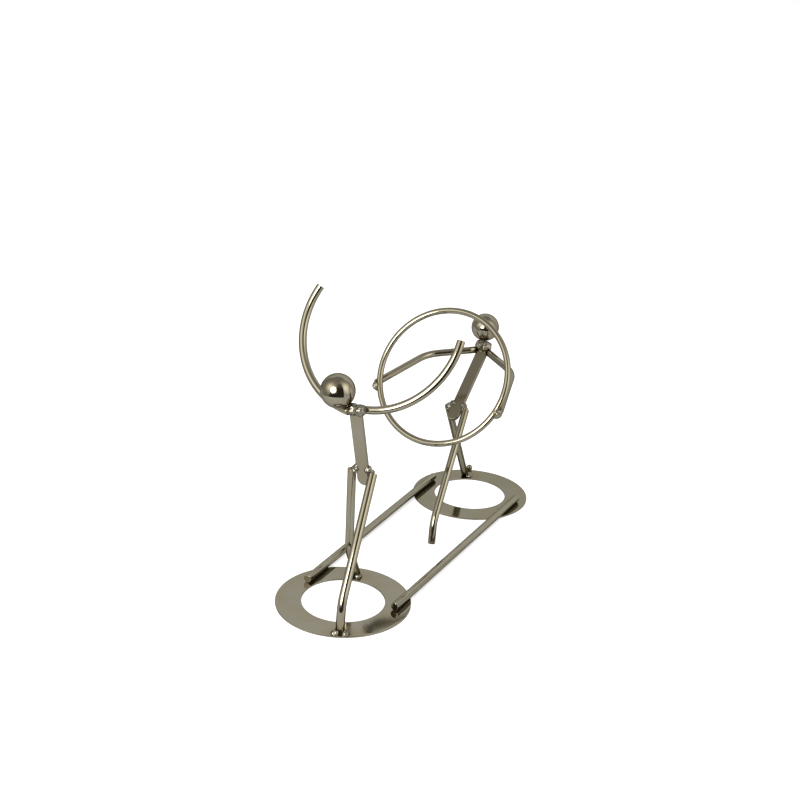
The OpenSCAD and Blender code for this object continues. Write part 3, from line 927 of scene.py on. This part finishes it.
# %% Raise the wall and lay the apron
WALL_LEVEL, STAND_LEVEL, CARD_LIGHT = 0.5, 0.06, (1.0, 0.965, 0.87)
WALL_AT, APRON_Z = 0.76, 0.002
GLOWS = (                           # share, azimuth, elevation, width, height
    (2.1, -34, 31, 25, 21),
    (2.3, 90, 30, 29, 26),
    (0.7, 112, -2, 34, 14),
    (1.1, -1, 22, 27, 26))


def glow_at(a, e, a0, e0, width, height):
    """exp(-((a - a0) / width)^2 - ((e - e0) / height)^2)"""
    return math.exp(-((a - a0) / width) ** 2 - ((e - e0) / height) ** 2)


def step(value, edge, soft):
    """0 below the edge and 1 above it, with a soft passage."""
    t = min(max((value - edge) / soft + 0.5, 0.0), 1.0)
    return t * t * (3 - 2 * t)


def wall_tone(a, e):
    """How bright the room is at azimuth a and elevation e, as a share of the white table."""
    tone = WALL_LEVEL + sum(share * glow_at(a, e, *glow) for share, *glow in GLOWS)
    stand = step(a, 21, 5) * (1 - step(a, 70, 4)) * (1 - step(e, 62, 8))
    under = step(a, -18, 12) * (1 - step(a, 24, 4)) * (1 - step(e, 4, 6))
    dark = max(stand, under)
    return tone * (1 - dark) + (STAND_LEVEL + 0.2 * step(e, 42, 30)) * dark


def apron_tone(a):
    """Dark in front, brown towards the left."""
    return 0.06 + 0.42 * (1 - step(a, -26, 22))


def mirrored_card(name, rows, tones):
    """A grid of points with a tone for each, seen by reflections only."""
    n = len(rows[0])
    faces = [(j * n + i, j * n + i + 1, (j + 1) * n + i + 1, (j + 1) * n + i)
             for j in range(len(rows) - 1) for i in range(n - 1)]
    mesh = bpy.data.meshes.new(name)
    mesh.from_pydata([p for row in rows for p in row], [], faces)
    layer = mesh.attributes.new("tone", "FLOAT", "POINT")
    layer.data.foreach_set("value", [t for row in tones for t in row])
    obj = bpy.data.objects.new(name, mesh)
    bpy.context.scene.collection.objects.link(obj)
    paint = Finish(name)
    paint.set("Base Color", (0, 0, 0, 1))
    paint.set("Specular IOR Level", 0.0)
    tone = paint.node("ShaderNodeAttribute", {"attribute_name": "tone"}, output=ATTRIBUTE_VALUE)
    paint.set("Emission Strength", 1.0)
    paint.set("Emission Color", paint.node("ShaderNodeVectorMath", {"operation": "SCALE"},
                                           {0: CARD_LIGHT, "Scale": tone}))
    obj.data.materials.append(paint.material)
    obj.visible_camera = obj.visible_diffuse = obj.visible_shadow = False
    obj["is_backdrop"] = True
    return obj


wall_a, wall_e = np.linspace(-112, 146, 130), np.linspace(-9, 78, 44)
wall = mirrored_card("mirrored_wall",
                     [[around(a, e, WALL_AT) for a in wall_a] for e in wall_e],
                     [[wall_tone(a, e) for a in wall_a] for e in wall_e])
apron_a, apron_r = np.linspace(-80, 70, 76), np.linspace(0.28, 2.4, 6)
under_head = Vector((AIM.x, AIM.y, APRON_Z))
apron = mirrored_card("apron",
                      [[under_head + Vector((sin(a), -cos(a), 0)) * r for a in apron_a]
                       for r in apron_r],
                      [[apron_tone(a) for a in apron_a] for r in apron_r])
print("cards:", wall.name, apron.name)

# %% Write the sizes and finish
bpy.context.scene.view_settings.view_transform = "Standard"
visual_low, visual_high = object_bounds()
grow = max(max(visual_high[i] - cad_high[i], cad_low[i] - visual_low[i]) for i in range(3))
triangles = sum(len(o.data.loops) - 2 * len(o.data.polygons) for o in pieces.values())
print("triangles:", triangles, "over the box by mm:", round(grow * 1000, 3))
